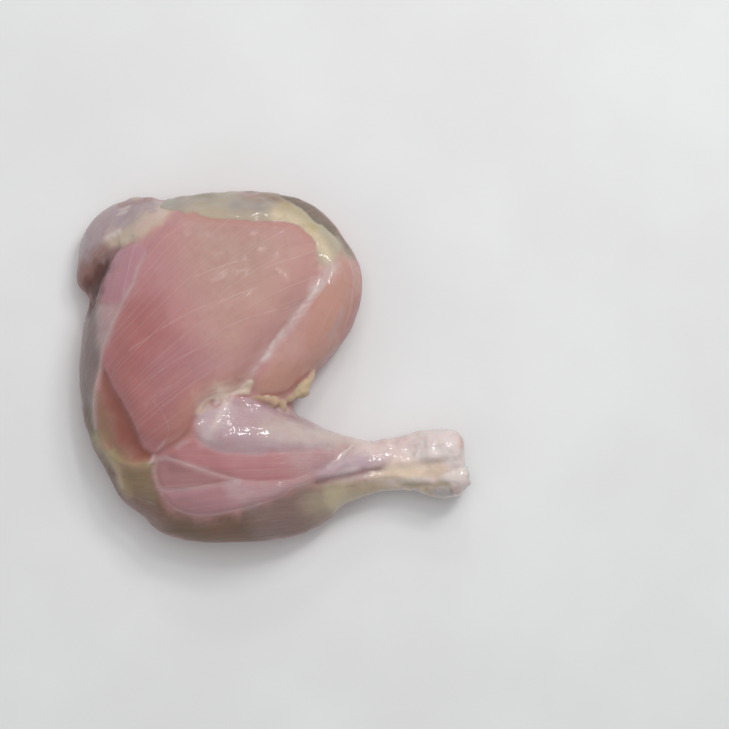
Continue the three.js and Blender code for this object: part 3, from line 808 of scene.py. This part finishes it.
def apply_modifiers(obj):
    graph = bpy.context.evaluated_depsgraph_get()
    mesh = bpy.data.meshes.new_from_object(obj.evaluated_get(graph))
    obj.modifiers.clear()
    obj.data = mesh


def lump_frame(lump, tree):
    """The middle of a lump, and its axes as rows that are as long as its half sizes."""
    x, y = to_mm(lump.pixel)
    height = lump.height
    if height is None:
        height = tree.ray_cast(Vector((x, y, ABOVE)) * MM, Vector((0, 0, -1)))[0].z / MM
    turn = math.radians(lump.turn)
    along = lump.half_length * np.array([math.cos(turn), math.sin(turn), 0])
    across = lump.half_width * np.array([-math.sin(turn), math.cos(turn), 0])
    return np.array([x, y, height]), np.array([along, across, [0, 0, lump.half_width]])


def add_lumps(bm, frames):
    """Adds the lumps as balls with lobes, which differ from lump to lump."""
    for number, (middle, axes) in enumerate(frames):
        verts = bmesh.ops.create_icosphere(bm, subdivisions=4, radius=1)["verts"]
        ball = np.array([vert.co for vert in verts])
        spots = ball @ axes
        lobes = 1 + 0.1 * waves(spots + 30 * number, 3.4, 7)
        for vert, spot in zip(verts, middle + spots * lobes[:, None]):
            vert.co = Vector(spot) * MM


def lump_depth(places, frames):
    """How far each vertex is inside the nearest lump's skin; negative outside."""
    depth = np.full(len(places), -LIMIT)
    for middle, axes in frames:
        halves = np.linalg.norm(axes, axis=1)
        shares = (places - middle) @ (axes / halves[:, None] ** 2).T
        depth = np.maximum(depth, (LUMP_REACH - np.linalg.norm(shares, axis=1)) * halves[1])
    return depth


def make_skin(node):
    """One closed mesh of the leg with its fat lumps, in even squares, and the lumps' frames."""
    bm = bmesh.new()
    bm.from_mesh(node.data)
    bmesh.ops.remove_doubles(bm, verts=bm.verts, dist=1e-6)
    bmesh.ops.join_triangles(
        bm, faces=bm.faces, angle_face_threshold=math.pi, angle_shape_threshold=math.pi
    )
    mesh = bpy.data.meshes.new("leg")
    bm.to_mesh(mesh)
    bm.free()
    relax(mesh, 3)
    skin = bpy.data.objects.new("leg_skin", mesh)
    bpy.context.scene.collection.objects.link(skin)
    skin.modifiers.new("smooth", "SUBSURF").levels = 2
    apply_modifiers(skin)

    bm = bmesh.new()
    bm.from_mesh(skin.data)
    tree = BVHTree.FromBMesh(bm)
    lumps = [lump_frame(lump, tree) for lump in LUMPS]
    add_lumps(bm, lumps)
    bm.to_mesh(skin.data)
    bm.free()
    remesh = skin.modifiers.new("even", "REMESH")
    remesh.mode = "VOXEL"
    remesh.voxel_size = VOXEL * MM
    apply_modifiers(skin)
    relax(skin.data, 2)
    return skin, lumps


def grain_places(plan, places, normals):
    """Each vertex's place along and across the grain, and how clear the grain is there.

    The sides are unrolled outward first, so that the grain runs down over them.
    """
    flat = normals[:, :2] / np.maximum(np.linalg.norm(normals[:, :2], axis=1), 1e-6)[:, None]
    turn = np.arccos(np.clip(normals[:, 2], -1, 1))
    unrolled = places[:, :2] + flat * (SIDE_RADIUS * np.maximum(turn - SIDE_TURN, 0))[:, None]

    def bent(degrees, middle, bend_along, bend_across):
        along, across = turned(unrolled - to_mm(middle), degrees)
        return along, across - 0.5 * bend_along * along ** 2 - bend_across * along * across

    along, across = bent(36, (234, 288), -0.0045, 0.0075)
    border = np.full(len(along), LIMIT)
    for inside, (own_along, own_across) in (
        (plan.inside(LOBE), bent(62, (320, 330), 0.004, 0.0)),
        (plan.inside(STRAP), bent(72, (118, 280), 0.0, 0.0)),
        (-plan.track(FOLD, FAR)[0], bent(2, (240, 470), 0.0, -0.006)),
    ):
        along = np.where(inside > 0, own_along, along)
        across = np.where(inside > 0, own_across, across)
        border = np.minimum(border, np.abs(inside))
    return np.stack([along, across], 1), smoothstep(0.4, 2.0, border)


def ridges(plan, wobble, table):
    """The rise that a table of ridges and grooves gives each vertex."""
    rise = np.zeros(len(wobble))
    for height, half, path in table:
        gap = plan.track(path)[0] / (half * (1 + 0.2 * wobble))
        rise += height * np.exp(-gap ** 2)
    return rise


def shape_skin(mesh, plan, grain, lumps):
    """Raises the muscles, seams and folds on the skin."""
    places, normals = read_mesh(mesh)
    upper = smoothstep(-0.15, 0.3, normals[:, 2])
    wobble = waves(places, 9, 3)
    rise = ridges(plan, wobble, RIDGES)
    for height, slope, outline in PLATES:
        rise += height * smoothstep(-0.3 * slope, slope, plan.inside(outline))
    for height, *oval in KNOBS:
        rise += height * (1 - smoothstep(0.3, 1.2, plan.knob(*oval)))
    # the bare fat stands proud, and the shank is uneven
    fat = plan.inside(FAT_AREA) + 0.2 * waves(places, 5, 12)
    rise += smoothstep(-0.4, 0.6, fat) * plan.fat_fade(0) * (0.4 + 0.15 * waves(places, 6, 11))
    shank = smoothstep(0, 8, plan.inside(SHANK))
    rise += shank * (0.25 * waves(places, 5, 13) + 0.06 * waves(places, 2.4, 14))
    # all of that is on the upper side, and the lumps stay as they are
    rise *= upper * (1 - smoothstep(-0.3, 0.3, lumps))
    rise += ridges(plan, wobble, RIDGES_BELOW) * smoothstep(-0.4, -0.8, normals[:, 2])
    # fibres where no fat is, and a soft unevenness all over
    rise += 0.04 * waves(grain * (0.1, 1), 3.4, 21) * (1 - smoothstep(-1, 1, fat) * upper)
    rise += 0.22 * waves(places, 16, 31) + 0.05 * waves(places, 6, 32)
    places += normals * rise[:, None]
    places[:, 2] = np.maximum(places[:, 2], FLOOR_LIFT)
    write_places(mesh, places)


def lay(rows, tone, share):
    """Takes the rows of channels towards a tissue or a fat, by each vertex's share."""
    rows += (channels(tone) - rows) * share[:, None]


def lay_areas(rows, plan, areas, wobble):
    """Lays areas over the rows in turn; the wobble makes their edges uneven."""
    for tone, opacity, soft, outline in areas:
        edge = plan.inside(outline) + wobble * min(soft, 3) / 3
        lay(rows, tone, opacity * smoothstep(-soft, soft, edge))


def lay_strokes(rows, plan, strokes, wobble=0, reach=8.0):
    """Lays strokes over the rows in turn; the wobble makes their width uneven."""
    for tone, opacity, half, path in strokes:
        gap = plan.track(path, reach)[0] / (half * (1 + 0.25 * wobble))
        lay(rows, tone, opacity * np.exp(-gap ** 2))


def underside(places, normals):
    """How far each vertex belongs to the inner side, which lies underneath, 0 to 1."""
    level = places[:, 2] + 2.5 * waves(places, 18, 43)
    low_side = smoothstep(*LOW_SIDE, level) * smoothstep(0.5, 0.1, normals[:, 2])
    return np.maximum(low_side, smoothstep(-0.3, -0.75, normals[:, 2]))


def nearest_threads(plan):
    """How far the nearest thread of each set is, and how strong it is there, in columns."""
    gaps = np.full((len(plan.at), len(THREADS)), FAR)
    strengths = np.zeros(gaps.shape)
    for group, nearest, strength in zip(THREADS, gaps.T, strengths.T):
        for opacity, half, path in group:
            gap, run = plan.track(path)
            closer = np.abs(gap) < np.abs(nearest)
            nearest[closer] = gap[closer]
            ends = smoothstep(0, 0.06, run) * smoothstep(1, 0.94, run)
            near = 1 - smoothstep(0.9, 1.4, np.abs(gap))
            strength[closer] = (opacity * ends * near * half / THREAD_HALF)[closer]
    return gaps, strengths


def paint_skin(mesh, plan, grain, clear, lumps):
    """Writes tissue, fat, threads and grain as vertex attributes."""
    places, normals = read_mesh(mesh)
    wobble = 0.9 * waves(places, 7, 41) + 0.4 * waves(places, 2.6, 42)
    above, below = np.tile(channels(MUSCLE), (2, len(places), 1))
    for rows, areas, strokes in (
        (above, AREAS, STROKES),
        (below, AREAS_BELOW, STROKES_BELOW),
    ):
        lay_areas(rows, plan, areas, wobble)
        lay_strokes(rows, plan, strokes, wobble)
    under = underside(places, normals)
    rows = above + (below - above) * under[:, None]
    end = smoothstep(*HOCK_END, places[:, 0] + 0.6 * wobble) * smoothstep(0.3, 0.7, normals[:, 0])
    lay(rows, CARTILAGE, end)

    tone = np.tile(channels(FAT_BARE), (len(places), 1))
    lay_strokes(tone, plan, FAT_TONES, reach=FAT_REACH)
    lay(tone, LUMP, smoothstep(-0.5, 0, lumps))
    lay_strokes(tone, plan, LUMP_TONES, reach=FAT_REACH)
    # no bare fat on the inner side
    bare = plan.inside(FAT_AREA) * plan.fat_fade(0.2)
    bare -= 12 * np.maximum(under, smoothstep(0.1, -0.4, normals[:, 2]))
    gaps, strengths = nearest_threads(plan)

    put(mesh, {
        "tissue": rows[:, :4],
        "fat_tone": tone,
        "fat": np.maximum(bare, lumps),
        "fibre": rows[:, 4] * clear,
        "veil": rows[:, 5],
        "grain": np.pad(grain, ((0, 0), (0, 1))),
        "thread_gap": np.clip(gaps, -LIMIT, LIMIT),
        "thread_strength": strengths * (1 - under)[:, None],
    })


def put(mesh, attributes):
    """Writes numbers, vectors and colours, one row for each vertex, as attributes."""
    kinds = {1: ("FLOAT", "value"), 3: ("FLOAT_VECTOR", "vector"), 4: ("FLOAT_COLOR", "color")}
    for name, values in attributes.items():
        kind, field = kinds[values.size // len(values)]
        attribute = mesh.attributes.new(name, kind, "POINT")
        attribute.data.foreach_set(field, np.ascontiguousarray(values, np.float32).ravel())


class Graph:
    """Builds a material's nodes, so that a network reads as nested calls."""

    def __init__(self, name):
        self.material = bpy.data.materials.new(name)
        self.material.use_nodes = True
        self.tree = self.material.node_tree
        self.shader = self.tree.nodes["Principled BSDF"]

    def node(self, kind, inputs, output=0, **settings):
        made = self.tree.nodes.new(kind)
        for key, value in settings.items():
            setattr(made, key, value)
        for key, value in inputs.items():
            self.plug(made.inputs[key], value)
        return made.outputs[output]

    def plug(self, socket, value):
        if isinstance(value, bpy.types.NodeSocket):
            self.tree.links.new(value, socket)
        else:
            socket.default_value = value

    def attribute(self, name, output="Fac"):
        return self.node("ShaderNodeAttribute", {}, output, attribute_name=name)

    def noise(self, vector, scale, detail, roughness=0.5):
        inputs = {"Vector": vector, "Scale": scale, "Detail": detail, "Roughness": roughness}
        return self.node("ShaderNodeTexNoise", inputs)

    def math(self, operation, a, b=0.0):
        return self.node("ShaderNodeMath", {0: a, 1: b}, operation=operation)

    def times(self, a, b):
        return self.math("MULTIPLY", a, b)

    def clouds(self, place, size, detail):
        """Noise in blots of about that many millimetres."""
        return self.noise(place, 1 / (size * MM), detail)

    def ramp(self, value, low, high, to_low=0.0, to_high=1.0):
        inputs = {0: value, 1: low, 2: high, 3: to_low, 4: to_high}
        return self.node("ShaderNodeMapRange", inputs, interpolation_type="SMOOTHSTEP")

    def stretch(self, vector, scale):
        return self.node("ShaderNodeMapping", {"Vector": vector, "Scale": scale})

    def split(self, vector):
        return [self.node("ShaderNodeSeparateXYZ", {0: vector}, axis) for axis in range(3)]

    def mix(self, factor, a, b):
        return self.node("ShaderNodeMix", {0: factor, 6: a, 7: b}, 2, data_type="RGBA")

    def bump(self, normal, height, distance, strength):
        inputs = {"Height": height, "Distance": distance * MM, "Strength": strength}
        if normal is not None:
            inputs["Normal"] = normal
        return self.node("ShaderNodeBump", inputs)


def rgba(colour):
    return (*linear(colour), 1.0)


def meat_material():
    g = Graph("meat")
    place = g.node("ShaderNodeTexCoord", {}, "Object")
    grain = g.attribute("grain", "Vector")
    fibre = g.attribute("fibre")
    tissue = g.attribute("tissue", "Color")
    wet = g.attribute("tissue", "Alpha")
    veil = g.attribute("veil")

    streaks = g.noise(g.stretch(grain, (0.012, 0.35, 1.0)), 1.0, 2.0)
    lines = g.noise(g.stretch(grain, (0.012, 1.3, 1.0)), 1.0, 2.0)
    patches = g.clouds(place, 16, 2.0)
    mottle = g.clouds(place, 2.4, 3.0)
    ripples = g.clouds(place, 2.2, 2.0)
    wisps = g.noise(g.stretch(grain, (0.16, 0.9, 1.0)), 1.0, 4.0, 0.55)

    # muscle, with broad soft streaks and fine pale lines along the grain
    colour = g.mix(g.ramp(patches, 0.35, 0.65, 0.0, 0.14), tissue, rgba(MUSCLE_RED.colour))
    colour = g.mix(g.times(fibre, g.ramp(streaks, 0.45, 0.75, 0.0, 0.18)),
                   colour, rgba(MUSCLE_PALE.colour))
    colour = g.mix(g.times(fibre, g.ramp(lines, 0.54, 0.76, 0.0, 0.24)), colour, rgba(THREAD))
    colour = g.mix(g.ramp(mottle, 0.45, 0.8, 0.0, 0.1), colour, rgba(MUSCLE_BROWN.colour))

    # bare fat, thin and clear where its layer is thin, with globules where it is thick
    thick = g.attribute("fat_tone", "Alpha")
    fat = g.math("ADD", g.attribute("fat"), g.ramp(mottle, 0.3, 0.7, -0.15, 0.15))
    in_fat = g.times(g.ramp(fat, -0.3, 0.3), g.ramp(thick, 0.0, 0.8, 0.84, 0.97))
    cells = {"Vector": place, "Scale": 1 / (1.7 * MM)}
    globules = g.node("ShaderNodeTexVoronoi", cells, feature="SMOOTH_F1")
    cloudy = g.clouds(place, 5, 3.0)
    fat_colour = g.mix(g.ramp(cloudy, 0.35, 0.65, 0.0, 0.25), g.attribute("fat_tone", "Color"),
                       rgba(FAT_PALE.colour))
    shadow = g.times(thick, g.ramp(globules, 0.35, 0.8, 0.0, 0.35))
    fat_colour = g.mix(shadow, fat_colour, rgba(GLOBULE_SHADOW))
    colour = g.mix(in_fat, colour, fat_colour)

    # pale membrane in wisps, then the threads
    veiled = g.times(veil, g.ramp(wisps, 0.35, 0.7, 0.3, 1.0))
    colour = g.mix(veiled, colour, rgba(VEIL))
    on_thread = None
    gaps = g.split(g.attribute("thread_gap", "Vector"))
    strengths = g.split(g.attribute("thread_strength", "Vector"))
    for gap, strength in zip(gaps, strengths):
        line = g.times(g.ramp(g.math("ABSOLUTE", gap), 0.08, 0.5, 1.0, 0.0), strength)
        on_thread = line if on_thread is None else g.math("MAXIMUM", on_thread, line)
    on_thread = g.times(on_thread, g.ramp(g.clouds(place, 6, 2.0), 0.36, 0.6, 0.45, 1.0))
    colour = g.mix(on_thread, colour, rgba(THREAD))

    # relief in layers: (height, distance in millimetres, strength)
    relief = None
    for layer in (
        (lines, 0.08, 0.4),
        (mottle, 0.12, 0.4),
        (g.times(g.times(wet, wet), ripples), 0.36, 0.8),
        (g.times(thick, g.times(in_fat, g.ramp(globules, 0.1, 0.8, 1.0, 0.0))), 0.25, 0.5),
        (g.times(veil, wisps), 0.3, 0.5),
        (on_thread, 0.2, 0.5),
    ):
        relief = g.bump(relief, *layer)

    dull = g.ramp(mottle, 0.35, 0.7, 0.46, 0.56)
    wet = g.math("MAXIMUM", wet, g.times(in_fat, 0.6))
    sockets = g.shader.inputs
    g.plug(sockets["Base Color"], colour)
    g.plug(sockets["Roughness"], g.math("SUBTRACT", dull, g.times(wet, 0.18)))
    g.plug(sockets["Normal"], relief)
    g.plug(sockets["Coat Weight"], g.ramp(wet, 0.0, 0.9, 0.05, 1.0))
    g.plug(sockets["Coat Normal"], relief)
    for name, value in MEAT_SHADER.items():
        sockets[name].default_value = value
    return g.material


def floor_material():
    g = Graph("pale_floor")
    place = g.node("ShaderNodeTexCoord", {}, "Object")
    tone = g.ramp(g.noise(place, 14.0, 3.0), 0.3, 0.7)
    g.plug(g.shader.inputs["Base Color"], g.mix(tone, FLOOR_DARK, FLOOR_PALE))
    g.shader.inputs["Roughness"].default_value = 0.75
    return g.material


def add_floor():
    bm = bmesh.new()
    bmesh.ops.create_grid(bm, x_segments=1, y_segments=1, size=FLOOR_HALF * MM)
    mesh = bpy.data.meshes.new("floor")
    bm.to_mesh(mesh)
    bm.free()
    floor = bpy.data.objects.new("floor", mesh)
    bpy.context.scene.collection.objects.link(floor)
    mesh.materials.append(floor_material())


def aim(obj, target):
    obj.rotation_euler = (Vector(target) - obj.location).to_track_quat("-Z", "Y").to_euler()


def add_camera():
    """Nearly straight above, with the photograph's middle in the middle."""
    x, y = to_mm((PHOTO_WIDTH / 2, PHOTO_WIDTH / 2)) * MM
    level = 20 * MM
    elevation = math.radians(87)
    distance = 0.95
    camera = bpy.data.cameras.new("camera")
    camera.lens = camera.sensor_width * distance / (PHOTO_WIDTH * MM_PER_PIXEL * MM)
    obj = bpy.data.objects.new("camera", camera)
    target = Vector((x, y, level))
    obj.location = target + distance * Vector((0, -math.cos(elevation), math.sin(elevation)))
    aim(obj, target)
    bpy.context.scene.collection.objects.link(obj)
    bpy.context.scene.camera = obj


def add_light(name, place, width, power, mirrored):
    light = bpy.data.lights.new(name, "AREA")
    light.shape = "DISK"
    light.size = width
    light.energy = power
    obj = bpy.data.objects.new(name, light)
    obj.location = place
    aim(obj, LIGHTS_AIM)
    obj.visible_glossy = mirrored
    bpy.context.scene.collection.objects.link(obj)


def add_lights():
    for light in LIGHTS:
        add_light(*light)
    world = bpy.data.worlds.new("studio")
    bpy.context.scene.world = world
    world.use_nodes = True
    background = world.node_tree.nodes["Background"]
    background.inputs["Color"].default_value = SKY
    background.inputs["Strength"].default_value = SKY_STRENGTH
    bpy.context.scene.view_settings.view_transform = "Standard"


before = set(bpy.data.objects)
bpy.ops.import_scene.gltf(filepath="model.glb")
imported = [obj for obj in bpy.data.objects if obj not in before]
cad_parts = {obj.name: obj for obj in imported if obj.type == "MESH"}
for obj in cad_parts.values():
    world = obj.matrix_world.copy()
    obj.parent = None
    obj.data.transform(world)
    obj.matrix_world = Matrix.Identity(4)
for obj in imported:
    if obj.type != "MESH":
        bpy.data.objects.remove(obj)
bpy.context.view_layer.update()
skin, lump_frames = make_skin(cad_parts["leg_quarter"])
places, normals = read_mesh(skin.data)
plan = Plan(places)
grain, clear = grain_places(plan, places, normals)
lumps = lump_depth(places, lump_frames)
shape_skin(skin.data, plan, grain, lumps)
paint_skin(skin.data, plan, grain, clear, lumps)
skin.data.polygons.foreach_set("use_smooth", np.ones(len(skin.data.polygons), bool))
skin.data.materials.append(meat_material())
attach(skin, "root")
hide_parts("leg_quarter")
add_floor()
add_camera()
add_lights()
